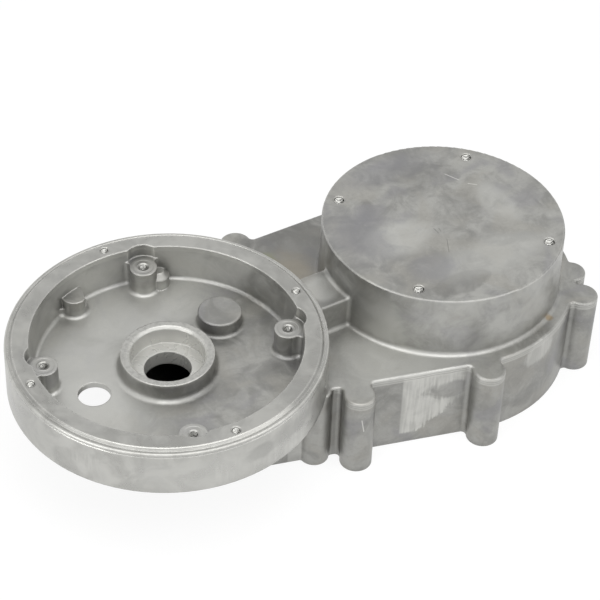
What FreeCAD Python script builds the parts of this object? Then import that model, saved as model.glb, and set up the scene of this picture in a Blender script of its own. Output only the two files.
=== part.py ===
import FreeCAD, Part
import math
import os
import Sketcher
from FreeCAD import Vector

# Die cast aluminium gear housing, millimetres.
# The origin is the centre of the bearing seat's shoulder, in the hub of the round dish.
# +Z points out of the dish and +X runs from the dish to the gear drum.
# Heights in the sheet count from the parting face at the foot of the skirt.

doc = FreeCAD.newDocument("housing")

# Driving sizes
SIZES = {
    # gear case below the dish and the drum
    "centre_distance": 204.0,
    "deck_top": 59.5,
    "deck_thickness": 5.0,
    "case_wall": 5.0,
    "nose_radius": 34.8,
    "case_radius": 90.0,
    "corner_radius": 13.0,
    "corner_x": 101.4,
    "deck_edge_radius": 1.6,
    "shoulder_fillet": 3.0,
    # ears that take the cover screws
    "ear_radius": 10.4,
    "ear_standoff": 6.2,
    "ear_fillet": 3.0,
    "ear_first_angle": -104.0,
    "ear_step_angle": 62.0,
    "front_ear_x": 97.0,
    "front_ear_standoff": 8.0,
    "back_ear_standoff": 2.8,
    "ear_tap_radius": 3.4,
    "ear_tap_depth": 25.0,
    # screw bosses that stand inside the wall where the dish leaves no room for ears
    "inner_boss_radius": 8.0,
    "inner_boss_cover": 0.5,
    "inner_boss_top": 40.0,
    "front_boss_x": 23.0,
    # bosses for the two dowels of the cover
    "front_dowel_x": 76.0,
    "front_dowel_sink": 2.8,
    "rear_dowel_angle": -28.0,
    "rear_dowel_sink": 0.6,
    "dowel_fillet": 1.8,
    "dowel_boss_radius": 9.6,
    "dowel_radius": 3.0,
    "dowel_depth": 14.0,
    # drum over the large gear
    "drum_radius": 79.4,
    "drum_draft": 0.8,
    "drum_top": 104.5,
    "drum_roof": 6.0,
    "drum_wall": 5.0,
    "drum_edge_radius": 0.9,
    "drum_tap_circle": 70.3,
    "drum_tap_angle": -46.5,
    "drum_tap_radius": 3.4,
    "drum_tap_depth": 16.0,
    "drum_tap_floor": 4.0,
    "drum_tap_boss_radius": 8.5,
    "gear_bearing_radius": 23.5,
    "gear_bearing_depth": 12.0,
    "gear_bearing_wall": 6.0,
    # bridge between the dish and the drum
    "bridge_top": 81.5,
    "bridge_front": -13.5,
    "bridge_width": 32.0,
    "bridge_start": 93.0,
    "bridge_edge_radius": 1.2,
    # round dish for the motor
    "dish_radius": 100.0,
    "dish_draft": 0.4,
    "dish_bottom": 61.5,
    "dish_under_depth": 2.5,
    "dish_foot_width": 12.0,
    "dish_floor": 68.0,
    "neck_roof": 5.0,
    "neck_room_margin": 2.0,
    "rim_top": 94.4,
    "rim_inner_radius": 85.0,
    "rim_inner_draft": 1.0,
    "rim_land_radius": 95.4,
    "rim_step_width": 1.9,
    "rim_step_drop": 1.7,
    "bead_rise": 0.5,
    "bead_round": 1.0,
    "bead_bottom": 91.2,
    "bead_groove": 0.7,
    "floor_fillet": 2.6,
    "rim_tap_circle": 91.0,
    "rim_tap_angle": -1.8,
    "rim_tap_radius": 2.5,
    "rim_tap_depth": 15.0,
    "tap_chamfer": 0.35,
    # hub with the bearing seat
    "hub_fillet": 4.0,
    "hub_radius": 29.4,
    "hub_draft": 1.0,
    "hub_top": 80.0,
    "hub_bottom": 56.5,
    "hub_skirt_radius": 22.0,
    "seat_radius": 23.5,
    "seat_depth": 13.0,
    "seat_chamfer": 1.6,
    "shaft_bore_radius": 15.0,
    # four tapped bosses inside the dish
    "post_circle": 77.1,
    "post_angle": -16.6,
    "post_radius": 8.8,
    "post_top": 85.3,
    "post_fillet": 3.0,
    "post_pocket_radius": 11.2,
    "post_tap_radius": 2.5,
    "post_tap_depth": 12.0,
    # lug beside the rear post
    "lug_circle": 78.5,
    "lug_angle": 66.0,
    "lug_radius": 6.8,
    "lug_top": 79.5,
    "lug_bevel": 3.6,
    # half round stop, round pad and cable hole on the dish floor
    "stop_circle": 80.5,
    "stop_angle": 109.5,
    "stop_radius": 8.0,
    "stop_top": 80.5,
    "stop_step": 7.0,
    "stop_flat_start": 26.0,
    "stop_flat_end": 303.5,
    "pad_x": 48.6,
    "pad_y": 20.3,
    "pad_radius": 14.2,
    "pad_top": 78.0,
    "pad_edge_radius": 1.4,
    "pad_bearing_radius": 11.0,
    "pad_bearing_depth": 16.0,
    "pad_bearing_wall": 4.0,
    "pad_boss_bottom": 54.0,
    "cable_hole_x": -50.8,
    "cable_hole_y": 0.7,
    "cable_hole_radius": 10.2,
    # how far added material reaches into the metal that it joins, and how far cuts start in the open
    "joint_depth": 1.0,
    "cut_start": 2.0,
}

# Sizes that follow from the driving ones
FOLLOWERS = {
    "zero": "0",
    "deck_bottom": "deck_top - deck_thickness",
    "deck_middle": "deck_top - deck_thickness / 2",
    "corner_y": "case_radius - corner_radius",
    "inner_nose_radius": "nose_radius - case_wall",
    "inner_case_radius": "case_radius - case_wall",
    "inner_corner_radius": "corner_radius - case_wall",
    # slopes of the front wall and of the wall from the nose to the back corner
    "front_sine": "(case_radius - nose_radius) / centre_distance",
    "front_cosine": "sqrt(1 - front_sine ^ 2)",
    "front_angle": "-asin(front_sine) / 1deg",
    "front_normal": "front_angle - 90",
    "back_span": "sqrt(corner_x ^ 2 + corner_y ^ 2)",
    "back_lean": "asin((nose_radius - corner_radius) / back_span) / 1deg",
    "back_angle": "atan2(corner_y; corner_x) / 1deg - back_lean",
    "back_normal": "back_angle + 90",
    # places of the ears and dowel bosses
    "ear_reach": "case_radius + ear_standoff",
    "inner_boss_sink": "inner_boss_radius + inner_boss_cover",
    "nose_boss_x": "-(nose_radius - inner_boss_sink)",
    "front_boss_y": "-(nose_radius - inner_boss_sink + front_sine * front_boss_x) / front_cosine",
    "front_ear_y": "-(nose_radius + front_ear_standoff + front_sine * front_ear_x) / front_cosine",
    "back_ear_y": "case_radius + back_ear_standoff",
    "middle_ear_reach": "(nose_radius + corner_radius) / 2 + ear_standoff",
    "middle_ear_x": "corner_x / 2 + middle_ear_reach * cos(back_normal * 1deg)",
    "middle_ear_y": "corner_y / 2 + middle_ear_reach * sin(back_normal * 1deg)",
    "front_dowel_y": "-(nose_radius - front_dowel_sink + front_sine * front_dowel_x) / front_cosine",
    "rear_dowel_reach": "case_radius - rear_dowel_sink",
    "rear_dowel_x": "centre_distance + rear_dowel_reach * cos(rear_dowel_angle * 1deg)",
    "rear_dowel_y": "rear_dowel_reach * sin(rear_dowel_angle * 1deg)",
    # drum and bridge
    "drum_foot_radius": "drum_radius + drum_draft",
    "drum_inner_radius": "drum_radius - drum_wall",
    "drum_ceiling": "drum_top - drum_roof",
    "gear_boss_radius": "gear_bearing_radius + gear_bearing_wall",
    "gear_boss_bottom": "drum_ceiling - gear_bearing_depth",
    "drum_tap_boss_bottom": "drum_top - drum_tap_depth - drum_tap_floor",
    "bridge_end": "centre_distance - drum_radius + drum_wall - joint_depth",
    "bridge_back": "bridge_front + bridge_width",
    "bridge_room_start": "dish_radius + case_wall",
    "bridge_room_end": "centre_distance - drum_inner_radius + drum_wall",
    "bridge_room_front": "bridge_front + case_wall",
    "bridge_room_back": "bridge_back - case_wall",
    "bridge_ceiling": "bridge_top - case_wall",
    # dish
    "dish_foot_radius": "dish_radius + dish_draft",
    "dish_recess_radius": "dish_radius - dish_foot_width",
    "dish_underside": "dish_bottom + dish_under_depth",
    "floor_middle": "(dish_floor + dish_underside) / 2",
    "neck_ceiling": "dish_floor - neck_roof",
    "neck_room_reach": "dish_recess_radius - neck_room_margin",
    "bead_inner_radius": "rim_land_radius + rim_step_width",
    "bead_foot": "rim_top - rim_step_drop",
    "bead_top": "bead_foot + bead_rise",
    "bead_flat_start": "bead_inner_radius + bead_rise",
    "groove_radius": "dish_radius - bead_groove",
    "groove_middle": "bead_bottom - bead_groove / 2",
    "wall_top": "bead_bottom - bead_groove",
    "floor_wall_radius": "rim_inner_radius - rim_inner_draft",
    # hub and the boss under the pad
    "hub_foot_radius": "hub_radius + hub_draft",
    "seat_bottom": "hub_top - seat_depth",
    "pad_boss_radius": "pad_bearing_radius + pad_bearing_wall",
    "pad_bearing_top": "pad_boss_bottom + pad_bearing_depth",
    "rim_tap_end": "rim_top - rim_tap_depth",
    "post_tap_end": "post_top - post_tap_depth",
    "drum_tap_end": "drum_top - drum_tap_depth",
    "lug_x": "lug_circle * cos(lug_angle * 1deg)",
    "lug_depth": "-lug_circle * sin(lug_angle * 1deg)",
    "lug_flat": "lug_radius - lug_bevel",
    "lug_shoulder": "lug_top - lug_bevel",
    "stop_ledge": "stop_top - stop_step",
    "stop_x": "stop_circle * cos(stop_angle * 1deg)",
    "stop_y": "stop_circle * sin(stop_angle * 1deg)",
    # heights where cuts start in the open and where added material starts inside the metal
    "above_rim": "rim_top + cut_start",
    "above_drum": "drum_top + cut_start",
    "below_deck": "deck_bottom - joint_depth",
    "below_hub": "hub_bottom - cut_start",
    "below_gear_boss": "gear_boss_bottom - cut_start",
    "below_pad_boss": "pad_boss_bottom - cut_start",
    "neck_top": "dish_underside + joint_depth",
    "inside_drum_roof": "drum_ceiling + joint_depth",
}

sheet = doc.addObject("Spreadsheet::Sheet", "Sizes")
for row, (alias, entry) in enumerate(list(SIZES.items()) + list(FOLLOWERS.items()), start=1):
    sheet.set(f"A{row}", alias)
    sheet.set(f"B{row}", f"={entry}" if alias in FOLLOWERS else str(entry))
    sheet.setAlias(f"B{row}", alias)
doc.recompute()

body = doc.addObject("PartDesign::Body", "Housing")
body.Label = "housing"
body.setExpression(".Placement.Base.z", "-Sizes.seat_bottom")


def num(alias):
    """Return the number that a cell of the sheet holds."""
    return float(sheet.get(alias))


def origin_feature(role):
    """Return the body's origin plane or axis with this role."""
    return next(item for item in body.Origin.OriginFeatures if item.Role == role)


def new_sketch(name, plane="XY_Plane", **offsets):
    """Start a sketch on an origin plane, with offsets along its own axes given as cells."""
    sketch = body.newObject("Sketcher::SketchObject", name)
    sketch.AttachmentSupport = [(origin_feature(plane), "")]
    sketch.MapMode = "FlatFace"
    for axis, cell in offsets.items():
        sketch.setExpression(f".AttachmentOffset.Base.{axis}", f"Sizes.{cell}")
    return sketch


def bind(sketch, constraint, expression):
    """Add a constraint and tie its value to an expression on the sheet."""
    index = sketch.addConstraint(constraint)
    sketch.setExpression(f"Constraints[{index}]", expression)


def pin(sketch, geometry, vertex, x_cell, y_cell):
    """Hold a vertex of a sketch at the place that two cells give."""
    x_pin = Sketcher.Constraint("DistanceX", -1, 1, geometry, vertex, num(x_cell))
    y_pin = Sketcher.Constraint("DistanceY", -1, 1, geometry, vertex, num(y_cell))
    bind(sketch, x_pin, f"Sizes.{x_cell}")
    bind(sketch, y_pin, f"Sizes.{y_cell}")


def add_polygon(sketch, corners):
    """Draw a closed outline through corners that are pairs of cells."""
    points = [Vector(num(x_cell), num(y_cell), 0) for x_cell, y_cell in corners]
    count = len(points)
    for index in range(count):
        sketch.addGeometry(Part.LineSegment(points[index], points[(index + 1) % count]))
    for index in range(count):
        sketch.addConstraint(Sketcher.Constraint("Coincident", index, 2, (index + 1) % count, 1))
    for index, (x_cell, y_cell) in enumerate(corners):
        pin(sketch, index, 1, x_cell, y_cell)


def add_circle(sketch, radius_cell, x_expression, y_expression):
    """Draw a circle whose radius is a cell and whose centre follows two expressions."""
    index = sketch.addGeometry(Part.Circle(Vector(1, 1, 0), Vector(0, 0, 1), num(radius_cell)))
    bind(sketch, Sketcher.Constraint("Radius", index, num(radius_cell)), f"Sizes.{radius_cell}")
    bind(sketch, Sketcher.Constraint("DistanceX", -1, 1, index, 3, 1.0), x_expression)
    bind(sketch, Sketcher.Constraint("DistanceY", -1, 1, index, 3, 1.0), y_expression)


def cells(x_cell, y_cell):
    """Return the expressions of a place whose x and y are cells."""
    return f"Sizes.{x_cell}", f"Sizes.{y_cell}"


def polar(reach_cell, angle_expression, centre_cell="zero"):
    """Return the expressions of a place at a reach and an angle from a centre on the X axis."""
    return (
        f"Sizes.{centre_cell} + Sizes.{reach_cell} * cos(({angle_expression}) * 1deg)",
        f"Sizes.{reach_cell} * sin(({angle_expression}) * 1deg)",
    )


def round_sketch(name, height_cell, radius_cell, places):
    """Sketch equal circles at a height, at places that are pairs of expressions."""
    sketch = new_sketch(name, z=height_cell)
    for x_expression, y_expression in places:
        add_circle(sketch, radius_cell, x_expression, y_expression)
    return sketch


def ring_of_four(reach_cell, angle_cell, centre_cell="zero"):
    """Return four places a quarter turn apart round a centre on the X axis."""
    return [polar(reach_cell, f"Sizes.{angle_cell} + {90 * turn}", centre_cell) for turn in range(4)]


def circle_at(x_cell, y_cell, radius_cell):
    """Return a circle's centre and radius from three cells."""
    return Vector(num(x_cell), num(y_cell), 0), num(radius_cell)


def on_circle(circle, angle):
    """Return the point of a circle at an angle."""
    centre, radius = circle
    return centre + Vector(radius * math.cos(angle), radius * math.sin(angle), 0)


def outer_normal(first, second):
    """Return the angle of the outward normal of the line that touches both circles on its left."""
    span = second[0] - first[0]
    heading = math.atan2(span.y, span.x)
    return heading - math.pi / 2 - math.asin((second[1] - first[1]) / span.Length)


def add_hull(sketch, circles):
    """Draw the closed outline round three circles, each three cells: x, y and radius."""
    rounds = [circle_at(*circle) for circle in circles]
    normals = [outer_normal(rounds[i], rounds[(i + 1) % 3]) for i in range(3)]
    for index, circle in enumerate(rounds):
        start = normals[index - 1]
        end = normals[index]
        while end < start:
            end += 2 * math.pi
        ring = Part.Circle(circle[0], Vector(0, 0, 1), circle[1])
        sketch.addGeometry(Part.ArcOfCircle(ring, start, end))
        following = rounds[(index + 1) % 3]
        side = Part.LineSegment(on_circle(circle, normals[index]), on_circle(following, normals[index]))
        sketch.addGeometry(side)
    for index in range(3):
        arc, line, next_arc = 2 * index, 2 * index + 1, (2 * index + 2) % 6
        sketch.addConstraint(Sketcher.Constraint("Tangent", arc, 2, line, 1))
        sketch.addConstraint(Sketcher.Constraint("Tangent", line, 2, next_arc, 1))
    for index, (x_cell, y_cell, radius_cell) in enumerate(circles):
        radius = Sketcher.Constraint("Radius", 2 * index, num(radius_cell))
        bind(sketch, radius, f"Sizes.{radius_cell}")
        pin(sketch, 2 * index, 3, x_cell, y_cell)


def add_neck(sketch, nose_cell, reach_cell):
    """Draw the part of the case's outline that lies within a reach of the dish's axis."""
    nose = circle_at("zero", "zero", nose_cell)
    rim = circle_at("zero", "zero", reach_cell)
    front = math.radians(num("front_normal"))
    back = math.radians(num("back_normal"))
    spread = math.acos(nose[1] / rim[1])
    up = Vector(0, 0, 1)
    nose_arc = Part.ArcOfCircle(Part.Circle(nose[0], up, nose[1]), back, front + 2 * math.pi)
    rim_arc = Part.ArcOfCircle(Part.Circle(rim[0], up, rim[1]), front + spread, back - spread)
    sketch.addGeometry(nose_arc)
    sketch.addGeometry(Part.LineSegment(on_circle(nose, front), on_circle(rim, front + spread)))
    sketch.addGeometry(rim_arc)
    sketch.addGeometry(Part.LineSegment(on_circle(rim, back - spread), on_circle(nose, back)))
    sketch.addConstraint(Sketcher.Constraint("Tangent", 0, 2, 1, 1))
    sketch.addConstraint(Sketcher.Constraint("Tangent", 3, 2, 0, 1))
    sketch.addConstraint(Sketcher.Constraint("Coincident", 1, 2, 2, 1))
    sketch.addConstraint(Sketcher.Constraint("Coincident", 2, 2, 3, 1))
    for index, cell in ((0, nose_cell), (2, reach_cell)):
        sketch.addConstraint(Sketcher.Constraint("Coincident", index, 3, -1, 1))
        bind(sketch, Sketcher.Constraint("Radius", index, num(cell)), f"Sizes.{cell}")
    front_slope = Sketcher.Constraint("Angle", 1, math.radians(num("front_angle")))
    bind(sketch, front_slope, "Sizes.front_angle * 1deg")
    back_slope = Sketcher.Constraint("Angle", 3, math.radians(num("back_angle") + 180))
    bind(sketch, back_slope, "(Sizes.back_angle + 180) * 1deg")


def add_stop(sketch):
    """Draw the half round stop: an arc about its axis, closed by the flat that faces the hub."""
    circle = circle_at("stop_x", "stop_y", "stop_radius")
    start = math.radians(num("stop_flat_start"))
    end = math.radians(num("stop_flat_end"))
    ring = Part.Circle(circle[0], Vector(0, 0, 1), circle[1])
    sketch.addGeometry(Part.ArcOfCircle(ring, start, end))
    sketch.addGeometry(Part.LineSegment(on_circle(circle, end), on_circle(circle, start)))
    sketch.addConstraint(Sketcher.Constraint("Coincident", 0, 2, 1, 1))
    sketch.addConstraint(Sketcher.Constraint("Coincident", 1, 2, 0, 1))
    bind(sketch, Sketcher.Constraint("Radius", 0, circle[1]), "Sizes.stop_radius")
    pin(sketch, 0, 3, "stop_x", "stop_y")
    for vertex, cell, angle in ((1, "stop_flat_start", start), (2, "stop_flat_end", end)):
        spot = on_circle(circle, angle)
        height = f"Sizes.stop_y + Sizes.stop_radius * sin(Sizes.{cell} * 1deg)"
        bind(sketch, Sketcher.Constraint("DistanceY", -1, 1, 0, vertex, spot.y), height)


def finish(feature, cuts=False):
    """Make a feature the body's tip and check that it did its work."""
    body.Tip = feature
    doc.recompute()
    if "Invalid" in feature.State or "Error" in feature.State:
        raise RuntimeError(f"{feature.Name} failed")
    if cuts and feature.Shape.Volume >= feature.BaseFeature.Shape.Volume:
        raise RuntimeError(f"{feature.Name} cut nothing")


def pad(name, sketch, bottom_cell, top_cell):
    """Pad a sketch that lies at one height up to another."""
    feature = body.newObject("PartDesign::Pad", name)
    feature.Profile = sketch
    feature.setExpression("Length", f"Sizes.{top_cell} - Sizes.{bottom_cell}")
    finish(feature)


def pocket(name, sketch, bottom_cell, top_cell):
    """Cut a sketch that lies at one height up to another."""
    feature = body.newObject("PartDesign::Pocket", name)
    feature.Profile = sketch
    feature.setExpression("Length", f"Sizes.{top_cell} - Sizes.{bottom_cell}")
    feature.Reversed = True
    finish(feature, cuts=True)


def pad_round(name, radius_cell, places, bottom_cell, top_cell):
    """Pad equal circles from one height up to another."""
    circles = round_sketch(f"{name}Circles", bottom_cell, radius_cell, places)
    pad(name, circles, bottom_cell, top_cell)


def cut_round(name, radius_cell, places, bottom_cell, top_cell):
    """Cut equal round holes from one height up to another."""
    circles = round_sketch(f"{name}Circles", bottom_cell, radius_cell, places)
    pocket(name, circles, bottom_cell, top_cell)


def turn(name, sketch):
    """Revolve a sketch about its own vertical axis."""
    feature = body.newObject("PartDesign::Revolution", name)
    feature.Profile = sketch
    feature.ReferenceAxis = (sketch, ["V_Axis"])
    feature.Angle = 360
    finish(feature)


def edge_names(test):
    """Return the names of the edges of the body's last feature that pass a test."""
    return [f"Edge{number}" for number, edge in enumerate(body.Tip.Shape.Edges, start=1) if test(edge)]


def dress(kind, name, size_property, size_cell, test):
    """Add a Fillet or Chamfer to the edges of the body's last feature that pass a test."""
    base = body.Tip
    names = edge_names(test)
    if not names:
        raise RuntimeError(f"{name} found no edge")
    feature = body.newObject(f"PartDesign::{kind}", name)
    feature.Base = (base, names)
    feature.setExpression(size_property, f"Sizes.{size_cell}")
    finish(feature)


def fillet(name, radius_cell, test):
    """Round the edges that pass a test."""
    dress("Fillet", name, "Radius", radius_cell, test)


def chamfer(name, size_cell, test):
    """Bevel the edges that pass a test."""
    dress("Chamfer", name, "Size", size_cell, test)


def tap_from_above(name, kind, face_cell, places):
    """Drill tapping holes down from a face and bevel their mouths."""
    cut_round(name, f"{kind}_radius", places, f"{kind}_end", "above_drum")
    chamfer(f"{name}Mouths", "tap_chamfer", lambda edge: is_ring(edge, face_cell, f"{kind}_radius"))


# How far a measured place or radius may be from the one that is looked for
CLOSE = 0.01


def lies_at(edge, height_cell):
    """Tell whether an edge lies level at a height."""
    box = edge.BoundBox
    height = num(height_cell)
    return abs(box.ZMin - height) < CLOSE and abs(box.ZMax - height) < CLOSE


def stands_to(edge, height_cell):
    """Tell whether an edge is an upright line that ends at a height."""
    box = edge.BoundBox
    return max(box.XLength, box.YLength) < CLOSE and abs(box.ZMax - num(height_cell)) < CLOSE


def has_radius(edge, radius_cell):
    """Tell whether an edge is an arc with this radius."""
    return hasattr(edge.Curve, "Radius") and abs(edge.Curve.Radius - num(radius_cell)) < CLOSE


def is_ring(edge, height_cell, radius_cell):
    """Tell whether an edge is a level arc at this height with this radius."""
    return lies_at(edge, height_cell) and has_radius(edge, radius_cell)


def on_dowel_boss(edge):
    """Tell whether an upright edge is where a dowel boss leaves the outside of the wall."""
    middle = edge.CenterOfMass
    reaches = [
        math.hypot(middle.x - num(f"{name}_dowel_x"), middle.y - num(f"{name}_dowel_y"))
        for name in ("front", "rear")
    ]
    on_boss = any(abs(reach - num("dowel_boss_radius")) < CLOSE for reach in reaches)
    return on_boss and stands_to(edge, "deck_top")


def is_shoulder(edge):
    """Tell whether an edge is a corner that the deck, the bridge and the drum make."""
    spot = edge.valueAt((edge.FirstParameter + edge.LastParameter) / 2)
    below_top = num("drum_top") - spot.z
    slope = num("drum_draft") / (num("drum_top") - num("deck_middle"))
    wall = num("drum_radius") + slope * below_top
    reach = math.hypot(spot.x - num("centre_distance"), spot.y)
    if below_top > CLOSE and abs(reach - wall) < 10 * CLOSE:
        return True
    return lies_at(edge, "deck_top") and runs_along_bridge(edge)


def runs_along_bridge(edge):
    """Tell whether an edge runs along a side of the bridge."""
    box = edge.BoundBox
    sides = (num("bridge_front"), num("bridge_back"))
    return any(abs(box.YMin - side) < CLOSE and abs(box.YMax - side) < CLOSE for side in sides)


def is_bridge_rim(edge):
    """Tell whether an edge is one of the bridge's upper long edges."""
    return lies_at(edge, "bridge_top") and runs_along_bridge(edge)


def is_hub_foot(edge):
    """Tell whether an edge lies inside the round where the hub's fillet meets the dish floor."""
    spot = edge.valueAt(edge.FirstParameter)
    return math.hypot(spot.x, spot.y) < num("hub_foot_radius") + num("hub_fillet") + CLOSE


def is_post_corner(edge):
    """Tell whether an edge rises from the dish floor where a post or the stop meets the wall."""
    heights = [vertex.Z for vertex in edge.Vertexes]
    if abs(min(heights) - num("dish_floor")) > CLOSE or max(heights) > num("post_top") + CLOSE:
        return False
    slope = num("rim_inner_draft") / (num("rim_top") - num("dish_floor"))
    for spot in edge.discretize(4):
        wall = num("floor_wall_radius") + slope * (spot.z - num("dish_floor"))
        if abs(math.hypot(spot.x, spot.y) - wall) > CLOSE:
            return False
    return max(heights) > min(heights) + CLOSE


# Gear case: an outline round the nose, the drum end and the back corner, hollow from below
case_sketch = new_sketch("CaseOutline")
add_hull(case_sketch, [
    ("zero", "zero", "nose_radius"),
    ("centre_distance", "zero", "case_radius"),
    ("corner_x", "corner_y", "corner_radius"),
])
pad("Case", case_sketch, "zero", "deck_top")

room_sketch = new_sketch("RoomOutline")
add_hull(room_sketch, [
    ("zero", "zero", "inner_nose_radius"),
    ("centre_distance", "zero", "inner_case_radius"),
    ("corner_x", "corner_y", "inner_corner_radius"),
])
pocket("Room", room_sketch, "zero", "deck_bottom")

# Ears for the cover screws: four round the drum and three along the walls
drum_ears = [
    polar("ear_reach", f"Sizes.ear_first_angle + {step} * Sizes.ear_step_angle", "centre_distance")
    for step in range(4)
]
wall_ears = [
    cells("front_ear_x", "front_ear_y"),
    cells("corner_x", "back_ear_y"),
    cells("middle_ear_x", "middle_ear_y"),
]
ears = drum_ears + wall_ears
pad_round("Ears", "ear_radius", ears, "zero", "deck_top")
fillet("EarFillets", "ear_fillet", lambda edge: stands_to(edge, "deck_top"))

# Below the dish two more cover screws go into bosses that stand inside the wall
inner_bosses = [
    cells("nose_boss_x", "zero"),
    cells("front_boss_x", "front_boss_y"),
]
pad_round("InnerBosses", "inner_boss_radius", inner_bosses, "zero", "inner_boss_top")

# Two fuller bosses take the dowels that place the cover
dowels = [cells("front_dowel_x", "front_dowel_y"), cells("rear_dowel_x", "rear_dowel_y")]
pad_round("DowelBosses", "dowel_boss_radius", dowels, "zero", "deck_top")
fillet("DowelFillets", "dowel_fillet", on_dowel_boss)
fillet("DeckEdge", "deck_edge_radius", lambda edge: lies_at(edge, "deck_top"))

# Drum over the large gear, with a drafted wall
drum_sketch = new_sketch("DrumProfile", "XZ_Plane", x="centre_distance")
add_polygon(drum_sketch, [
    ("zero", "deck_middle"),
    ("drum_foot_radius", "deck_middle"),
    ("drum_radius", "drum_top"),
    ("zero", "drum_top"),
])
turn("Drum", drum_sketch)

# Bridge from the dish to the drum
bridge_sketch = new_sketch("BridgeOutline", z="deck_middle")
add_polygon(bridge_sketch, [
    ("bridge_start", "bridge_front"),
    ("bridge_end", "bridge_front"),
    ("bridge_end", "bridge_back"),
    ("bridge_start", "bridge_back"),
])
pad("Bridge", bridge_sketch, "deck_middle", "bridge_top")

# Fillets where the drum and the bridge stand on the deck and on each other
fillet("BridgeEdges", "bridge_edge_radius", is_bridge_rim)
fillet("Shoulders", "shoulder_fillet", is_shoulder)
fillet("DrumEdge", "drum_edge_radius", lambda edge: lies_at(edge, "drum_top"))

# Neck that carries the dish on the nose of the case
neck_sketch = new_sketch("NeckOutline", z="below_deck")
add_neck(neck_sketch, "nose_radius", "dish_radius")
pad("Neck", neck_sketch, "below_deck", "neck_top")

# Dish with its stepped rim and the hub in its middle
dish_sketch = new_sketch("DishProfile", "XZ_Plane")
add_polygon(dish_sketch, [
    ("zero", "dish_underside"),
    ("dish_recess_radius", "dish_underside"),
    ("dish_recess_radius", "dish_bottom"),
    ("dish_foot_radius", "dish_bottom"),
    ("dish_radius", "wall_top"),
    ("groove_radius", "groove_middle"),
    ("dish_radius", "bead_bottom"),
    ("dish_radius", "bead_top"),
    ("bead_flat_start", "bead_top"),
    ("bead_inner_radius", "bead_foot"),
    ("rim_land_radius", "rim_top"),
    ("rim_inner_radius", "rim_top"),
    ("floor_wall_radius", "dish_floor"),
    ("hub_foot_radius", "dish_floor"),
    ("hub_radius", "hub_top"),
    ("zero", "hub_top"),
])
turn("Dish", dish_sketch)
fillet("BeadRound", "bead_round", lambda edge: is_ring(edge, "bead_top", "dish_radius"))

# Four tapped bosses and a stop by the dish wall, and a round pad over the middle gear's bearing
posts = ring_of_four("post_circle", "post_angle")
stop_place = [cells("stop_x", "stop_y")]
pad_place = [cells("pad_x", "pad_y")]
pad_round("Posts", "post_radius", posts, "floor_middle", "post_top")
pad_round("StopFoot", "stop_radius", stop_place, "floor_middle", "stop_ledge")
pad_round("GearPad", "pad_radius", pad_place, "floor_middle", "pad_top")
fillet("PostCorners", "post_fillet", is_post_corner)
fillet("HubFoot", "hub_fillet", lambda edge: is_ring(edge, "dish_floor", "hub_foot_radius"))
fillet("FloorFillets", "floor_fillet", lambda edge: lies_at(edge, "dish_floor") and not is_hub_foot(edge))
fillet("GearPadEdge", "pad_edge_radius", lambda edge: is_ring(edge, "pad_top", "pad_radius"))

# Upper half of the stop, a bevelled lug beside the rear post, and the posts' faces cut clear of the rim
stop_sketch = new_sketch("StopOutline", z="floor_middle")
add_stop(stop_sketch)
pad("Stop", stop_sketch, "floor_middle", "stop_top")
lug_sketch = new_sketch("LugProfile", "XZ_Plane", x="lug_x", z="lug_depth")
add_polygon(lug_sketch, [
    ("zero", "floor_middle"),
    ("lug_radius", "floor_middle"),
    ("lug_radius", "lug_shoulder"),
    ("lug_flat", "lug_top"),
    ("zero", "lug_top"),
])
turn("Lug", lug_sketch)
cut_round("PostFaces", "post_pocket_radius", posts, "post_top", "above_rim")

# Rooms inside: under the dish, in the bridge and in the drum
neck_room = new_sketch("NeckRoomOutline", z="below_deck")
add_neck(neck_room, "inner_nose_radius", "neck_room_reach")
pocket("NeckRoom", neck_room, "below_deck", "neck_ceiling")
bridge_room = new_sketch("BridgeRoomOutline", z="below_deck")
add_polygon(bridge_room, [
    ("bridge_room_start", "bridge_room_front"),
    ("bridge_room_end", "bridge_room_front"),
    ("bridge_room_end", "bridge_room_back"),
    ("bridge_room_start", "bridge_room_back"),
])
pocket("BridgeRoom", bridge_room, "below_deck", "bridge_ceiling")
drum_place = [cells("centre_distance", "zero")]
cut_round("DrumRoom", "drum_inner_radius", drum_place, "below_deck", "drum_ceiling")

# Bosses inside: gear bearing and tapped bosses under the drum, skirt and blind bearing under the dish
drum_taps = ring_of_four("drum_tap_circle", "drum_tap_angle", "centre_distance")
hub_place = [cells("zero", "zero")]
pad_round("GearBoss", "gear_boss_radius", drum_place, "gear_boss_bottom", "inside_drum_roof")
pad_round("DrumTapBosses", "drum_tap_boss_radius", drum_taps, "drum_tap_boss_bottom", "inside_drum_roof")
pad_round("HubSkirt", "hub_skirt_radius", hub_place, "hub_bottom", "neck_top")
pad_round("PadBoss", "pad_boss_radius", pad_place, "pad_boss_bottom", "neck_top")

# Bearing seats and bores
cut_round("HubSeat", "seat_radius", hub_place, "seat_bottom", "above_rim")
chamfer("HubSeatMouth", "seat_chamfer", lambda edge: is_ring(edge, "hub_top", "seat_radius"))
cut_round("ShaftBore", "shaft_bore_radius", hub_place, "below_hub", "above_rim")
cut_round("GearBearing", "gear_bearing_radius", drum_place, "below_gear_boss", "drum_ceiling")
cut_round("PadBearing", "pad_bearing_radius", pad_place, "below_pad_boss", "pad_bearing_top")
cable_place = [cells("cable_hole_x", "cable_hole_y")]
cut_round("CableHole", "cable_hole_radius", cable_place, "dish_bottom", "above_rim")

# Holes for screws and dowels
tap_from_above("RimTaps", "rim_tap", "rim_top", ring_of_four("rim_tap_circle", "rim_tap_angle"))
tap_from_above("PostTaps", "post_tap", "post_top", posts)
tap_from_above("DrumTaps", "drum_tap", "drum_top", drum_taps)
cut_round("EarTaps", "ear_tap_radius", ears + inner_bosses, "zero", "ear_tap_depth")
cut_round("DowelHoles", "dowel_radius", dowels, "zero", "dowel_depth")

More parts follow.
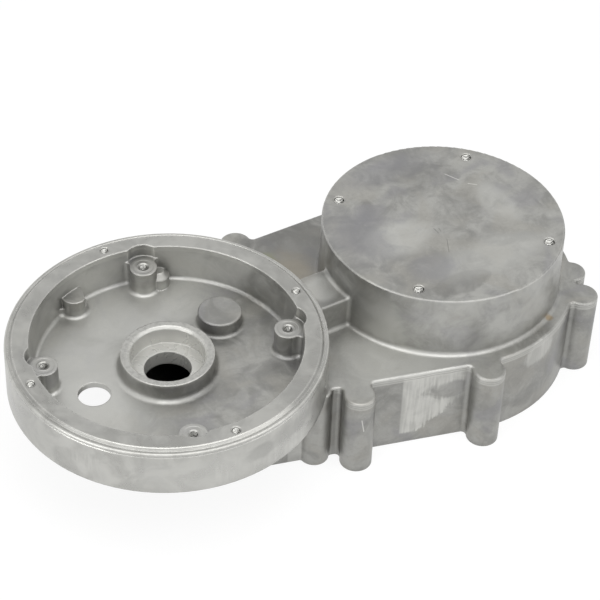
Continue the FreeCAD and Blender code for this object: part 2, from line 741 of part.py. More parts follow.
for item in doc.Objects:
    if "Invalid" in item.State or "Error" in item.State:
        raise RuntimeError(f"{item.Name} is in error")
if body.Shape.isNull() or not body.Shape.isValid() or len(body.Shape.Solids) != 1:
    raise RuntimeError("The housing is not one valid solid")

os.makedirs("parts", exist_ok=True)
body.Shape.exportStep(f"parts/{body.Label}.step")
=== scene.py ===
import math

import bpy
from mathutils import Matrix, Vector
from mathutils.geometry import convex_hull_2d


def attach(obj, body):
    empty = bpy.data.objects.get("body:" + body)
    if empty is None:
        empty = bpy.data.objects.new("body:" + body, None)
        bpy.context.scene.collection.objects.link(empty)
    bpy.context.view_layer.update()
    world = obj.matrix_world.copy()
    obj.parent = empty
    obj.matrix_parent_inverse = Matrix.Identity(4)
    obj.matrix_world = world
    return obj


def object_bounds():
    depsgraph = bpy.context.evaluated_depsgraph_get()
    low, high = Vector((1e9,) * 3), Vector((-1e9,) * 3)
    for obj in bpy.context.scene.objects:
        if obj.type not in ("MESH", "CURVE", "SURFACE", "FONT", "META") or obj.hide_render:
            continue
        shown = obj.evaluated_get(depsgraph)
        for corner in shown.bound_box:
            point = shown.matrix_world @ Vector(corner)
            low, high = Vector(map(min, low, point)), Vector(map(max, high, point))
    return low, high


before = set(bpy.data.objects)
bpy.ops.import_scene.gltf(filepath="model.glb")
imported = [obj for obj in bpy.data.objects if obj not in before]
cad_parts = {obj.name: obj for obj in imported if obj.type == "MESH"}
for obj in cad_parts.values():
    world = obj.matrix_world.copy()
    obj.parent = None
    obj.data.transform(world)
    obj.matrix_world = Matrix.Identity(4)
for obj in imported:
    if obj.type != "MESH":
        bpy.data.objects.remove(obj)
cad_box = [list(corner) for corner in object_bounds()]

MM = 0.001

# Sizes of the housing that the looks depend on, in millimetres, with heights above the parting face
GROUND = cad_box[0][2] / MM
DECK_TOP = 59.5
DISH_BOTTOM = 61.5
DISH_FLOOR = 68.0
DISH_RADIUS = 100.0
WALL_TOP = 90.5
RIM_TOP = 94.4
RIM_INNER_RADIUS = 84.0
HUB_TOP = 80.0
HUB_RADIUS = 30.4
BORE_BOTTOM = 56.0
NOSE_RADIUS = 34.8
CASE_RADIUS = 90.0
CASE_WALL = 5.0
DRUM_X = 204.0
DRUM_TOP = 104.5
DRUM_RADIUS = 79.4
CORNER_X = 101.4
CORNER_RADIUS = 13.0
POST_TOP = 85.3
POST_CIRCLE = 77.1
POST_ANGLE = -16.6
POST_RADIUS = 8.0
TAP_RADIUS = 2.5
RIM_TAP_CIRCLE = 91.0
RIM_TAP_ANGLE = -1.8
DRUM_TAP_CIRCLE = 70.3
DRUM_TAP_ANGLE = -46.5
DRUM_TAP_RADIUS = 3.4
THREAD_START = 0.4

# Sanded spot on the front wall, and the fine grooves below the edge of the deck
SANDED_LEFT = 129.5
SANDED_RIGHT = 170.0
SANDED_FRONT = -66.0
LOW_GROOVE = 55.9
HIGH_GROOVE = 57.5
GROOVE_WIDTH = 0.3

# Linear colours of the stains and casts on the metal, and the grey of the painted light
WARM_GREY = (0.33, 0.32, 0.29, 1)
COOL_GREY = (0.25, 0.247, 0.257, 1)
PALE_AND_PAINTED_LIGHT_GREY = (0.545, 0.545, 0.52, 1)
BLUE_GREY = (0.225, 0.225, 0.24, 1)
RUST = (0.31, 0.21, 0.09, 1)
GREEN = (0.26, 0.28, 0.15, 1)
TAN = (0.36, 0.32, 0.24, 1)
WHITE = (1, 1, 1, 1)


def level(height):
    """Return a height above the parting face as a height in the frame, in metres."""
    return (height + GROUND) * MM


def look_camera():
    """Make the camera that sees the housing as the photograph does."""
    azimuth = math.radians(-32.41)
    elevation = math.radians(42.0)
    roll = math.radians(2.19)
    target = Vector((120.92 * MM, 39.6 * MM, level(40.0)))
    distance = 1372.35 * MM
    focal_pixels = 2052.0
    image_pixels = 600
    sensor = 36.0
    forward = Vector((
        -math.sin(azimuth) * math.cos(elevation),
        math.cos(azimuth) * math.cos(elevation),
        -math.sin(elevation),
    ))
    level_right = Vector((math.cos(azimuth), math.sin(azimuth), 0))
    level_up = level_right.cross(forward)
    right = level_right * math.cos(roll) + level_up * math.sin(roll)
    up = level_up * math.cos(roll) - level_right * math.sin(roll)
    data = bpy.data.cameras.new("camera")
    data.sensor_width = sensor
    data.sensor_fit = "HORIZONTAL"
    data.lens = focal_pixels / image_pixels * sensor
    data.clip_end = 20
    camera = bpy.data.objects.new("camera", data)
    turn = Matrix((right, up, -forward)).transposed().to_4x4()
    camera.matrix_world = Matrix.Translation(target - forward * distance) @ turn
    bpy.context.scene.collection.objects.link(camera)
    bpy.context.scene.camera = camera
    return right, forward, target


def area_light(name, depth, side, rise, size, power):
    """Add a square soft light, placed in metres from the target of the view and aimed at it."""
    data = bpy.data.lights.new(name, "AREA")
    data.shape = "SQUARE"
    data.size = size
    data.energy = power
    light = bpy.data.objects.new(name, data)
    place = target + ahead * depth + right * side + upward * rise
    light.rotation_euler = (target - place).to_track_quat("-Z", "Y").to_euler()
    light.location = place
    bpy.context.scene.collection.objects.link(light)


right, forward, target = look_camera()
ahead = Vector((forward.x, forward.y, 0)).normalized()
upward = Vector((0, 0, 1))

# Soft studio light: one overhead towards the front, one from each front side, a weaker one behind
area_light("right_light", depth=-0.5, side=1.1, rise=0.8, size=0.8, power=3.2)
area_light("top_light", depth=-0.35, side=0.0, rise=1.05, size=1.1, power=6.5)
area_light("front_light", depth=-0.9, side=-1.0, rise=0.45, size=0.8, power=6.0)
area_light("back_light", depth=1.1, side=0.0, rise=0.9, size=1.2, power=0.5)


class Nodes:
    """Short calls that build a node tree."""

    def __init__(self, tree):
        self.tree = tree
        tree.nodes.clear()

    def add(self, kind, settings=None, **inputs):
        """Add a node, set its properties and fill or link its inputs by name."""
        node = self.tree.nodes.new(kind)
        for key, value in (settings or {}).items():
            setattr(node, key, value)
        for key, value in inputs.items():
            self.feed(node.inputs[key.replace("_", " ")], value)
        return node

    def feed(self, socket, value):
        """Link a socket to another one, or set its value."""
        if isinstance(value, bpy.types.NodeSocket):
            self.tree.links.new(value, socket)
        else:
            socket.default_value = value

    def math(self, operation, *values):
        """Add a math node and return its result."""
        node = self.tree.nodes.new("ShaderNodeMath")
        node.operation = operation
        for socket, value in zip(node.inputs, values):
            self.feed(socket, value)
        return node.outputs[0]

    def plus(self, first, second):
        """Add two values."""
        return self.math("ADD", first, second)

    def times(self, first, *others):
        """Multiply values."""
        for other in others:
            first = self.math("MULTIPLY", first, other)
        return first

    def join(self, *masks):
        """Return the strongest of several masks."""
        first = masks[0]
        for other in masks[1:]:
            first = self.math("MAXIMUM", first, other)
        return first

    def vector(self, operation, *values):
        """Add a vector math node and return the node."""
        node = self.tree.nodes.new("ShaderNodeVectorMath")
        node.operation = operation
        for socket, value in zip(node.inputs, values):
            self.feed(socket, value)
        return node

    def noise(self, place, size, detail, roughness, distortion=0.0):
        """Return a noise whose lumps have about this size in millimetres."""
        node = self.add("ShaderNodeTexNoise", Vector=place, Scale=1 / size, Detail=detail)
        node.inputs["Roughness"].default_value = roughness
        node.inputs["Distortion"].default_value = distortion
        return node.outputs["Fac"]

    def ramp(self, value, low, high, to_low=0.0, to_high=1.0):
        """Map a value smoothly from one range onto another."""
        node = self.add("ShaderNodeMapRange", {"interpolation_type": "SMOOTHSTEP"}, Value=value)
        for name, number in zip(("From Min", "From Max", "To Min", "To Max"), (low, high, to_low, to_high)):
            self.feed(node.inputs[name], number)
        return node.outputs["Result"]

    def band(self, value, low, high, soft):
        """Return 1 where a value lies between two numbers, with soft ends."""
        rise = self.ramp(value, low - soft, low + soft)
        fall = self.ramp(value, high - soft, high + soft, 1.0, 0.0)
        return self.times(rise, fall)

    def mix(self, factor, first, second):
        """Mix two colours, whose sockets have the numbers below, and return the result."""
        node = self.tree.nodes.new("ShaderNodeMix")
        node.data_type = "RGBA"
        self.feed(node.inputs["Factor"], factor)
        self.feed(node.inputs[6], first)
        self.feed(node.inputs[7], second)
        return node.outputs[2]

    def reach(self, first, second, middle=(0.0, 0.0)):
        """Return the distance in a plane from a middle."""
        across = self.math("SUBTRACT", first, middle[0])
        along = self.math("SUBTRACT", second, middle[1])
        return self.math("SQRT", self.plus(self.times(across, across), self.times(along, along)))

    def patch(self, where, centre, radii, edge, soft=0.12):
        """Mask a lump round a centre, with a border that a noise value moves in and out."""
        away = self.vector("SUBTRACT", where, centre).outputs[0]
        scaled = self.vector("DIVIDE", away, radii).outputs[0]
        size = self.vector("LENGTH", scaled).outputs["Value"]
        return self.ramp(self.plus(size, edge), 1.0 - soft, 1.0 + soft, 1.0, 0.0)

    def line(self, where, start, end, width):
        """Mask a thin straight scratch from one point to another."""
        run = Vector(end) - Vector(start)
        away = self.vector("SUBTRACT", where, start).outputs[0]
        share = self.vector("DOT_PRODUCT", away, tuple(run / run.length_squared)).outputs["Value"]
        share = self.math("MINIMUM", self.math("MAXIMUM", share, 0.0), 1.0)
        along = self.vector("SCALE", tuple(run))
        self.feed(along.inputs["Scale"], share)
        gap = self.vector("DISTANCE", away, along.outputs[0]).outputs["Value"]
        return self.ramp(gap, width * 0.4, width, 1.0, 0.0)

    def background_rays(self):
        """Return 1 for rays that see the background, straight on or by gloss or glass, and else 0."""
        rays = self.add("ShaderNodeLightPath").outputs
        return self.join(rays["Is Camera Ray"], rays["Is Glossy Ray"], rays["Is Transmission Ray"])

    def surface(self, shader, output="ShaderNodeOutputMaterial"):
        """Link a shader to a new output node."""
        self.tree.links.new(shader.outputs[0], self.add(output).inputs["Surface"])


def new_material(name):
    """Make an empty material and return it with the calls that build its nodes."""
    material = bpy.data.materials.new(name)
    material.use_nodes = True
    return material, Nodes(material.node_tree)


def grey(value):
    """Return a grey as a linear colour, with the metal's slight yellow."""
    return (value, value * 0.995, value * 0.945, 1.0)


def centred(n, noise, strength):
    """Turn a noise from 0 to 1 into one that swings about zero."""
    return n.times(n.math("SUBTRACT", noise, 0.5), strength)


def four_fold(n, x, y, circle, angle):
    """Return the distance to the nearest of four places a quarter turn apart on a circle."""
    cosine = math.cos(math.radians(angle))
    sine = math.sin(math.radians(angle))
    along = n.math("ABSOLUTE", n.plus(n.times(x, cosine), n.times(y, sine)))
    across = n.math("ABSOLUTE", n.math("SUBTRACT", n.times(y, cosine), n.times(x, sine)))
    far = n.math("MAXIMUM", along, across)
    near = n.math("MINIMUM", along, across)
    return n.reach(far, near, (circle, 0.0))


def cast_aluminium():
    """Bare die cast aluminium: mottled skin, turned faces, ground spots, worn edges with painted highlight,
    marks and stains, and painted light and shade.
    """
    material, n = new_material("cast_aluminium")
    place = n.add("ShaderNodeTexCoord").outputs["Object"]
    metres = n.vector("SCALE", place)
    metres.inputs["Scale"].default_value = 1 / MM
    where = n.vector("SUBTRACT", metres.outputs[0], (0.0, 0.0, GROUND)).outputs[0]
    x, y, height = n.add("ShaderNodeSeparateXYZ", Vector=where).outputs
    dish = n.reach(x, y)
    drum = n.reach(x, y, (DRUM_X, 0.0))
    post = four_fold(n, x, y, POST_CIRCLE, POST_ANGLE)
    facing = n.add("ShaderNodeNewGeometry").outputs["Normal"]
    upright = n.add("ShaderNodeSeparateXYZ", Vector=facing).outputs["Z"]

    # mottled casting skin, warm and cool
    cloud = n.noise(where, 55.0, 4.0, 0.6, 0.5)
    blotch = n.noise(where, 18.0, 4.0, 0.62, 0.9)
    fleck = n.noise(where, 2.2, 3.0, 0.7)
    tone = n.plus(n.times(cloud, 0.5), n.times(blotch, 0.5))
    base = n.mix(n.ramp(tone, 0.38, 0.62), grey(0.23), grey(0.37))
    hue = n.noise(where, 30.0, 2.0, 0.5, 0.6)
    base = n.mix(n.ramp(hue, 0.5, 0.66, 0.0, 0.45), base, WARM_GREY)
    base = n.mix(n.ramp(hue, 0.46, 0.32, 0.0, 0.5), base, COOL_GREY)
    base = n.mix(n.ramp(fleck, 0.45, 0.75, 0.0, 0.2), base, grey(0.2))
    base = n.mix(n.ramp(fleck, 0.42, 0.22, 0.0, 0.15), base, grey(0.62))

    # turned faces: the rim, the wall round the dish, the hub and the faces of the posts
    rim_height = n.ramp(height, RIM_TOP - 4.2, RIM_TOP - 3.6)
    rim = n.times(rim_height, n.band(dish, RIM_INNER_RADIUS, DISH_RADIUS + 2.0, 0.4))
    wall_height = n.band(height, DISH_BOTTOM, WALL_TOP + 3.0, 0.4)
    wall = n.times(wall_height, n.band(dish, DISH_RADIUS - 1.0, DISH_RADIUS + 1.4, 0.2))
    within_hub = n.ramp(dish, HUB_RADIUS - 1.2, HUB_RADIUS - 0.8, 1.0, 0.0)
    hub = n.times(within_hub, n.ramp(height, BORE_BOTTOM, BORE_BOTTOM + 1.0))
    post_height = n.band(height, POST_TOP - 0.2, POST_TOP + 0.2, 0.05)
    post_face = n.times(post_height, n.ramp(post, POST_RADIUS, POST_RADIUS + 0.4, 1.0, 0.0))
    edge = centred(n, blotch, 1.4)
    rim_tone = n.mix(n.ramp(tone, 0.38, 0.62), grey(0.31), grey(0.4))
    base = n.mix(n.times(rim, 0.85), base, rim_tone)
    wall_tone = n.mix(n.ramp(blotch, 0.35, 0.65), grey(0.43), grey(0.54))
    base = n.mix(n.times(wall, 0.85), base, wall_tone)
    hub_face = n.times(hub, n.ramp(height, HUB_TOP - 0.4, HUB_TOP - 0.1))
    base = n.mix(n.times(hub, 0.9), base, grey(0.6))
    base = n.mix(hub_face, base, n.mix(n.ramp(fleck, 0.3, 0.6), grey(0.32), grey(0.42)))
    base = n.mix(n.times(post_face, 0.5), base, grey(0.44))

    # spots ground bright by hand, with upright streaks
    streaks = n.noise(n.vector("MULTIPLY", where, (1.0, 1.0, 0.07)).outputs[0], 1.6, 3.0, 0.6)
    ragged = n.plus(edge, centred(n, streaks, 0.9))
    slope = n.math("SUBTRACT", height, n.times(n.math("SUBTRACT", x, 140.0), 0.9))
    sanded = n.times(
        n.band(x, SANDED_LEFT, SANDED_RIGHT, 0.7),
        n.ramp(y, SANDED_FRONT, SANDED_FRONT - 3.0),
        n.ramp(n.plus(height, n.times(ragged, 2.0)), 7.0, 9.0),
        n.ramp(n.plus(slope, n.times(ragged, 14.0)), 6.0, 10.0),
        n.ramp(height, DECK_TOP, DECK_TOP - 1.5),
    )
    stain = n.join(
        n.patch(where, (162.0, -82.0, 41.0), (17.0, 12.0, 7.0), n.times(ragged, 0.8), 0.3),
        n.times(n.patch(where, (168.0, -84.0, 22.0), (8.0, 12.0, 22.0), ragged, 0.5), 0.8),
    )
    ground = n.join(
        n.times(sanded, n.math("SUBTRACT", 1.0, n.times(stain, 0.85))),
        n.times(n.patch(where, (226.0, -88.0, 50.0), (13.0, 10.0, 9.0), ragged, 0.25), 0.8),
        n.times(n.patch(where, (30.0, -95.0, 69.0), (22.0, 12.0, 6.5), n.times(ragged, 0.3)), 0.55),
        n.times(n.patch(where, (-12.0, -99.0, 71.0), (11.0, 8.0, 8.0), n.times(ragged, 1.6), 0.5), 0.8),
        n.times(n.patch(where, (-84.0, -54.0, 76.0), (11.0, 11.0, 8.0), n.times(ragged, 2.4), 0.4), 0.8),
    )
    wide_streaks = n.noise(n.vector("MULTIPLY", where, (1.0, 1.0, 0.12)).outputs[0], 6.0, 2.0, 0.6)
    strokes = n.plus(n.times(streaks, 0.5), n.plus(n.times(wide_streaks, 0.5), centred(n, blotch, 0.5)))
    streaky = n.mix(n.ramp(strokes, 0.35, 0.65), grey(0.43), grey(0.58))
    base = n.mix(n.times(ground, 0.85), base, streaky)

    # darker patches and painted shade, lighter patches and painted light, and coloured places of the skin
    sideways = n.ramp(n.math("ABSOLUTE", upright), 0.5, 0.8, 1.0, 0.0)
    inner_wall = n.times(sideways, n.band(dish, RIM_INNER_RADIUS - 6.0, RIM_INNER_RADIUS + 2.0, 0.5))
    drum_wall = n.times(sideways, n.band(drum, DRUM_RADIUS - 3.0, DRUM_RADIUS + 3.0, 0.5))
    # painted shade: the deck at the back beside the drum is darkened as the drum's shadow, and the left of
    # the dish's wall as shade; the drum top and the front of the dish's wall get darker patches
    dark_patches_and_painted_shade = n.join(
        n.times(n.patch(where, (181.0, -57.0, DRUM_TOP), (20.0, 9.0, 6.0), n.times(edge, 0.6), 0.15), 0.9),
        n.times(n.patch(where, (213.0, 46.0, DRUM_TOP), (24.0, 16.0, 6.0), edge, 0.6), 0.5),
        n.times(n.patch(where, (222.0, 8.0, DRUM_TOP), (12.0, 12.0, 6.0), edge, 0.6), 0.35),
        n.times(n.patch(where, (136.0, 66.0, DECK_TOP), (44.0, 30.0, 6.0), edge, 0.5), 1.3),
        n.times(n.patch(where, (9.0, -100.0, 78.0), (10.0, 8.0, 6.0), n.times(edge, 0.5), 0.3), 0.9),
        n.times(n.patch(where, (36.0, -93.0, 80.0), (24.0, 12.0, 6.0), n.times(edge, 0.5), 0.4), 0.5),
        n.times(n.patch(where, (-96.0, -15.0, 75.0), (16.0, 42.0, 18.0), edge, 0.6), 0.35),
    )
    base = n.mix(n.times(dark_patches_and_painted_shade, 0.4), base, grey(0.12))
    # painted light: lighter patches where light falls on the drum top's front, the deck's front, the left
    # of the drum's wall, the front of the dish's wall, the dish floor's left and back and the inner walls,
    # with a pale patch on the bridge top
    lights = n.join(
        n.patch(where, (170.0, 0.0, DRUM_TOP), (21.0, 15.0, 6.0), edge, 0.3),
        n.patch(where, (246.0, -1.0, DRUM_TOP), (10.0, 22.0, 6.0), edge, 0.3),
        n.patch(where, (212.0, -44.0, DRUM_TOP), (36.0, 14.0, 6.0), edge, 0.4),
        n.times(n.patch(where, (114.0, 3.0, 81.0), (11.0, 11.0, 4.0), n.times(edge, 0.7), 0.3), 1.6),
        n.times(n.patch(where, (152.0, -58.0, DECK_TOP), (52.0, 30.0, 4.0), edge, 0.4), 2.4),
        n.times(n.patch(where, (121.0, -46.0, DECK_TOP), (17.0, 22.0, 9.0), edge, 0.4), 2.6),
        n.times(n.patch(where, (131.0, -36.0, 76.0), (16.0, 24.0, 22.0), edge, 0.5), 2.4),
        n.times(n.patch(where, (-25.0, -97.0, 75.0), (45.0, 20.0, 12.0), edge, 0.5), 1.2),
        n.times(n.patch(where, (-48.0, 10.0, DISH_FLOOR), (38.0, 56.0, 5.0), edge, 0.6), 2.0),
        n.times(n.patch(where, (5.0, 55.0, DISH_FLOOR), (52.0, 26.0, 5.0), edge, 0.6), 2.0),
        n.times(inner_wall, n.ramp(tone, 0.35, 0.6, 1.0, 1.6)),
        n.times(drum_wall, n.ramp(tone, 0.35, 0.6, 0.5, 1.1)),
    )
    base = n.mix(n.times(lights, 0.32), base, PALE_AND_PAINTED_LIGHT_GREY)
    bluish = n.join(
        n.patch(where, (147.0, 12.0, DRUM_TOP), (18.0, 26.0, 6.0), edge, 0.5),
        n.times(n.patch(where, (196.0, 62.0, DRUM_TOP), (40.0, 12.0, 6.0), edge, 0.6), 0.7),
        n.times(n.patch(where, (172.0, -36.0, DRUM_TOP), (14.0, 11.0, 6.0), edge, 0.4), 0.8),
    )
    base = n.mix(n.times(bluish, 0.5), base, BLUE_GREY)
    rusty = n.patch(where, (242.1, -72.8, DECK_TOP), (2.6, 2.0, 5.0), edge, 0.6)
    base = n.mix(n.times(rusty, 0.6), base, RUST)
    green = n.patch(where, (112.0, 68.0, DECK_TOP), (5.0, 6.0, 5.0), edge, 0.5)
    base = n.mix(n.times(green, 0.35), base, GREEN)
    tan = n.patch(where, (122.0, 50.0, DECK_TOP), (12.0, 16.0, 5.0), edge, 0.7)
    base = n.mix(n.times(tan, 0.4), base, TAN)

    # scratches, bright and dark
    bright_lines = n.join(
        n.line(where, (232.0, 40.0, DRUM_TOP), (236.8, 30.0, DRUM_TOP), 0.32),
        n.line(where, (240.0, 24.0, DRUM_TOP), (244.5, 20.0, DRUM_TOP), 0.3),
        n.line(where, (93.3, -81.5, 45.7), (94.9, -82.0, 36.0), 0.5),
    )
    dark_lines = n.join(
        n.line(where, (194.1, -3.8, DRUM_TOP), (194.2, -9.0, DRUM_TOP), 0.4),
        n.line(where, (197.0, -5.0, DRUM_TOP), (196.6, -8.5, DRUM_TOP), 0.3),
        n.line(where, (195.6, -16.7, DRUM_TOP), (189.6, -28.0, DRUM_TOP), 0.28),
    )
    base = n.mix(n.times(bright_lines, 0.65), base, grey(0.7))
    base = n.mix(n.times(dark_lines, 0.55), base, grey(0.14))

    # light band with two fine grooves below the edge of the deck, on the case's wall and its ears: the band
    # is partly the trimmed parting line and partly a painted highlight of a rounded edge, and the grooves
    # are painted dark as painted shade
    outside = n.math("SUBTRACT", 1.0, n.ramp(dish, DISH_RADIUS + 6.0, DISH_RADIUS + 3.0))
    wavy = n.plus(height, centred(n, blotch, 2.4))
    parting_band_and_painted_highlight = n.times(n.band(wavy, 54.6, DECK_TOP - 0.6, 0.5), sideways, outside)
    low_groove = n.band(wavy, LOW_GROOVE, LOW_GROOVE + GROOVE_WIDTH, 0.25)
    high_groove = n.band(wavy, HIGH_GROOVE, HIGH_GROOVE + GROOVE_WIDTH, 0.25)
    grooves_with_painted_shade = n.times(n.join(low_groove, high_groove), sideways, outside)
    base = n.mix(n.times(parting_band_and_painted_highlight, 0.5), base, grey(0.56))
    base = n.mix(n.times(grooves_with_painted_shade, 0.6), base, grey(0.16))

    # edges lightened, partly by wear and partly as painted highlight, and the corners darkened as painted
    # shade
    soft = n.add("ShaderNodeBevel", {"samples": 4}, Radius=1.3 * MM).outputs[0]
    bend = n.vector("DOT_PRODUCT", soft, facing).outputs["Value"]
    worn_and_highlit_edges = n.ramp(bend, 0.995, 0.93)
    base = n.mix(n.times(worn_and_highlit_edges, 0.65, n.ramp(fleck, 0.3, 0.6, 0.75, 1.0)), base, grey(0.72))
    corner = n.add("ShaderNodeAmbientOcclusion", {"samples": 4}, Distance=9 * MM).outputs["AO"]
    painted_corner_shade = n.times(n.ramp(corner, 0.8, 0.3, 0.0, 0.4), n.math("SUBTRACT", 1.0, n.times(hub, 0.8)))
    base = n.mix(painted_corner_shade, base, grey(0.16))

    # turned, ground and worn places are smoother, and the sheen of the bore runs round its axis
    machined = n.join(rim, wall, hub, n.times(post_face, 0.7), n.times(ground, 0.4))
    rough = n.ramp(blotch, 0.3, 0.7, 0.36, 0.52)
    rough = n.math("SUBTRACT", rough, n.times(machined, 0.1))
    rough = n.math("SUBTRACT", rough, n.times(worn_and_highlit_edges, 0.08))
    bore = n.math("SUBTRACT", hub, hub_face)
    rough = n.math("SUBTRACT", rough, n.times(bore, 0.06))
    around = n.vector("NORMALIZE", n.vector("CROSS_PRODUCT", (0.0, 0.0, 1.0), where).outputs[0]).outputs[0]

    # casting grain, tool marks and the scratches as relief
    skin = n.plus(n.noise(where, 1.1, 3.0, 0.65), n.times(n.noise(where, 5.0, 3.0, 0.6), 1.2))
    rings = n.math("SINE", n.times(dish, 9.0))
    lathe = n.math("SINE", n.times(height, 11.0))
    marks = n.plus(n.times(rings, n.join(rim, hub), 0.22), n.times(lathe, n.join(wall, hub), 0.16))
    rough_spot = n.patch(where, (-21.0, 42.0, DISH_FLOOR), (13.0, 15.0, 5.0), edge, 0.3)
    pits = n.times(n.noise(where, 2.6, 2.0, 0.7), rough_spot, 2.6)
    relief = n.plus(n.times(skin, n.math("SUBTRACT", 1.0, n.times(machined, 0.75))), marks)
    relief = n.plus(relief, n.plus(pits, n.times(streaks, ground, 0.7)))
    relief = n.math("SUBTRACT", relief, n.times(n.join(bright_lines, dark_lines), 1.5))
    spot_face = n.times(n.band(post, 4.4, 6.6, 0.3), post_face)
    relief = n.math("SUBTRACT", relief, n.times(spot_face, 3.0))
    relief = n.math("SUBTRACT", relief, n.times(grooves_with_painted_shade, 3.0))
    rim_tap = four_fold(n, x, y, RIM_TAP_CIRCLE, RIM_TAP_ANGLE)
    drum_tap = four_fold(n, n.math("SUBTRACT", x, DRUM_X), y, DRUM_TAP_CIRCLE, DRUM_TAP_ANGLE)
    mouths = n.join(
        n.ramp(rim_tap, TAP_RADIUS, TAP_RADIUS + 1.0, 1.0, 0.0),
        n.ramp(post, TAP_RADIUS, TAP_RADIUS + 1.6, 1.0, 0.0),
        n.ramp(drum_tap, DRUM_TAP_RADIUS, DRUM_TAP_RADIUS + 1.0, 1.0, 0.0),
    )
    mouths = n.times(mouths, n.ramp(upright, 0.8, 0.95))
    relief = n.math("SUBTRACT", relief, n.times(mouths, 11.0))
    bump = n.add("ShaderNodeBump", Strength=1.0, Distance=0.055 * MM, Height=relief, Normal=soft)

    shader = n.add("ShaderNodeBsdfPrincipled", Normal=bump.outputs[0], Tangent=around)
    n.feed(shader.inputs["Metallic"], n.math("SUBTRACT", 0.86, n.times(bore, 0.45)))
    shader.inputs["Anisotropic Rotation"].default_value = 0.25
    n.feed(shader.inputs["Anisotropic"], n.times(bore, 0.8))
    n.feed(shader.inputs["Base Color"], base)
    n.feed(shader.inputs["Roughness"], rough)
    n.surface(shader)
    return material


def cut_thread():
    """Freshly cut aluminium with fine marks, for the threads, whose roots are painted near black as painted
    shade.
    """
    material, n = new_material("cut_thread")
    place = n.add("ShaderNodeTexCoord").outputs["Object"]
    grain = n.add("ShaderNodeTexNoise", Vector=place, Scale=2500.0, Detail=2.0).outputs["Fac"]
    bump = n.add("ShaderNodeBump", Strength=0.2, Distance=0.05 * MM, Height=grain)
    shader = n.add("ShaderNodeBsdfPrincipled", Metallic=0.9, Normal=bump.outputs[0])
    crest = n.add("ShaderNodeAttribute", {"attribute_name": "crest"}).outputs["Fac"]
    bright = n.mix(n.ramp(grain, 0.3, 0.7), grey(0.75), grey(0.9))
    # painted shade: the roots between the crests are near black, and the crests are bright cut metal
    n.feed(shader.inputs["Base Color"], n.mix(n.ramp(crest, 0.35, 0.8), grey(0.03), bright))
    n.feed(shader.inputs["Roughness"], n.ramp(grain, 0.3, 0.7, 0.24, 0.38))
    n.surface(shader)
    return material


def add_thread(vertices, faces, centre, top, depth, radius, crest, pitch):
    """Add one hole's thread: a ridge that winds down the hole's wall."""
    steps = 28
    turns = int(depth / pitch)
    half = pitch * 0.46
    first = len(vertices)
    for step in range(steps * turns + 1):
        angle = 2 * math.pi * step / steps
        drop = pitch * step / steps
        for reach, shift in ((radius, half), (crest, 0.0), (radius, -half)):
            side = (centre[0] + reach * math.cos(angle), centre[1] + reach * math.sin(angle))
            vertices.append((side[0] * MM, side[1] * MM, level(top - half - drop + shift)))
        if step:
            low = first + 3 * (step - 1)
            for column in (0, 1):
                faces.append((low + column, low + column + 1, low + column + 4, low + column + 3))
    last = len(vertices) - 3
    faces.append((first, first + 2, first + 1))
    faces.append((last, last + 1, last + 2))


def threads(name, taps, top, depth, radius, crest, pitch):
    """Make the threads of four holes as one piece, from the circle that they lie on."""
    middle_x, circle, angle = taps
    vertices, faces = [], []
    for turn in range(4):
        heading = math.radians(angle + 90 * turn)
        centre = (middle_x + circle * math.cos(heading), circle * math.sin(heading))
        add_thread(vertices, faces, centre, top - THREAD_START, depth, radius, crest, pitch)
    mesh = bpy.data.meshes.new(name)
    mesh.from_pydata(vertices, [], faces)
    share = mesh.attributes.new("crest", "FLOAT", "POINT")
    for index, value in enumerate(share.data):
        value.value = 1.0 if index % 3 == 1 else 0.0
    mesh.materials.append(thread_finish)
    piece = bpy.data.objects.new(name, mesh)
    bpy.context.scene.collection.objects.link(piece)
    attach(piece, "root")


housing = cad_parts["housing"]
housing.data.materials.clear()
housing.data.materials.append(cast_aluminium())

thread_finish = cut_thread()
rim_taps = (0.0, RIM_TAP_CIRCLE, RIM_TAP_ANGLE)
post_taps = (0.0, POST_CIRCLE, POST_ANGLE)
drum_taps = (DRUM_X, DRUM_TAP_CIRCLE, DRUM_TAP_ANGLE)
threads("rim_threads", rim_taps, RIM_TOP, depth=12.0, radius=TAP_RADIUS, crest=1.95, pitch=1.0)
threads("post_threads", post_taps, POST_TOP, depth=10.0, radius=TAP_RADIUS, crest=2.1, pitch=1.0)
threads("drum_threads", drum_taps, DRUM_TOP, depth=14.0, radius=DRUM_TAP_RADIUS, crest=2.8, pitch=1.25)


def white_to_camera(name, lit, shade):
    """Make a floor material that is white to the camera and in reflections, and keeps a soft shadow."""
    material, n = new_material(name)
    seen = n.background_rays()
    matte = n.add("ShaderNodeBsdfDiffuse")
    matte.inputs["Color"].default_value = (shade, shade, shade, 1)
    glow = n.add("ShaderNodeEmission", Strength=lit)
    glow.inputs["Color"].default_value = WHITE
    both = n.add("ShaderNodeAddShader")
    n.tree.links.new(glow.outputs[0], both.inputs[0])
    n.tree.links.new(matte.outputs[0], both.inputs[1])
    plain = n.add("ShaderNodeBsdfDiffuse")
    plain.inputs["Color"].default_value = (0.8, 0.8, 0.8, 1)
    choice = n.add("ShaderNodeMixShader", Fac=seen)
    n.tree.links.new(plain.outputs[0], choice.inputs[1])
    n.tree.links.new(both.outputs[0], choice.inputs[2])
    n.surface(choice)
    return material


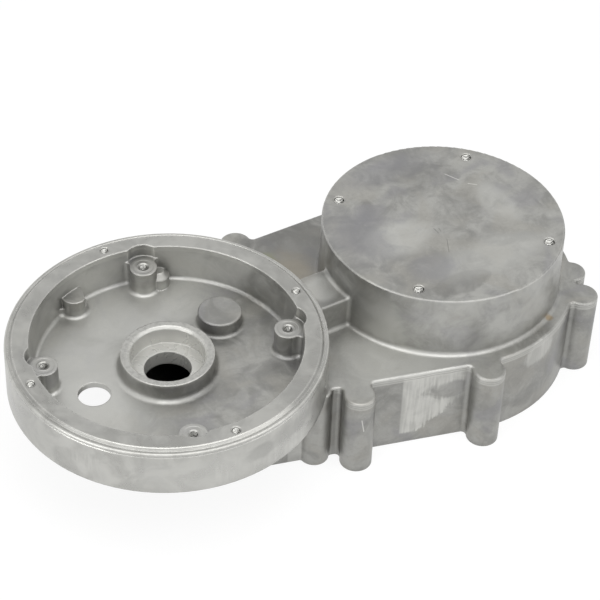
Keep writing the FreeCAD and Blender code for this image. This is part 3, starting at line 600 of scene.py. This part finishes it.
def painted_shade_floor(name):
    """Make the near-black floor inside the case, a painted shade that stands where no studio light falls.
    """
    material, n = new_material(name)
    place = n.add("ShaderNodeTexCoord").outputs["Object"]
    lumps = n.add("ShaderNodeTexNoise", Vector=place, Scale=20.0).outputs["Fac"]
    n.surface(n.add("ShaderNodeBsdfDiffuse", Color=n.ramp(lumps, 0.3, 0.7, 0.01, 0.02)))
    return material


def stage_plane(name, corners, height, finish):
    """Lay one flat stage piece through its corners at a height."""
    mesh = bpy.data.meshes.new(name)
    mesh.from_pydata([(a, b, height) for a, b in corners], [], [tuple(range(len(corners)))])
    mesh.materials.append(finish)
    piece = bpy.data.objects.new(name, mesh)
    bpy.context.scene.collection.objects.link(piece)


# Floor under the housing, with a near-black floor of painted shade inside the case
FLOOR_REACH = 6.0
FLOOR_GAP = 0.05
INSIDE_FLOOR_RISE = 0.02
ROUND_STEPS = 64
floor_height = level(0.0) - FLOOR_GAP * MM
floor_corners = [
    (-FLOOR_REACH, -FLOOR_REACH),
    (FLOOR_REACH, -FLOOR_REACH),
    (FLOOR_REACH, FLOOR_REACH),
    (-FLOOR_REACH, FLOOR_REACH),
]
stage_plane("floor", floor_corners, floor_height, white_to_camera("floor_white", lit=0.87, shade=0.17))
case_rounds = (
    (0.0, 0.0, NOSE_RADIUS),
    (DRUM_X, 0.0, CASE_RADIUS),
    (CORNER_X, CASE_RADIUS - CORNER_RADIUS, CORNER_RADIUS),
)
inside = []
for middle_x, middle_y, radius in case_rounds:
    reach = radius - CASE_WALL / 2
    for step in range(ROUND_STEPS):
        angle = 2 * math.pi * step / ROUND_STEPS
        across = middle_x + reach * math.cos(angle)
        along = middle_y + reach * math.sin(angle)
        inside.append((across * MM, along * MM))
inside = [inside[index] for index in convex_hull_2d(inside)]
stage_plane("floor_inside", inside, floor_height + INSIDE_FLOOR_RISE * MM, painted_shade_floor("floor_painted_shade"))

# White background, at a lower strength for the light that falls on the housing
WORLD_LIGHT = 0.45
world = bpy.data.worlds.new("world")
bpy.context.scene.world = world
world.use_nodes = True
w = Nodes(world.node_tree)
studio = w.add("ShaderNodeBackground")
studio.inputs["Color"].default_value = WHITE
strength = w.plus(w.times(w.background_rays(), 1.0 - WORLD_LIGHT), WORLD_LIGHT)
w.feed(studio.inputs["Strength"], strength)
w.surface(studio, "ShaderNodeOutputWorld")

bpy.context.scene.view_settings.view_transform = "Standard"
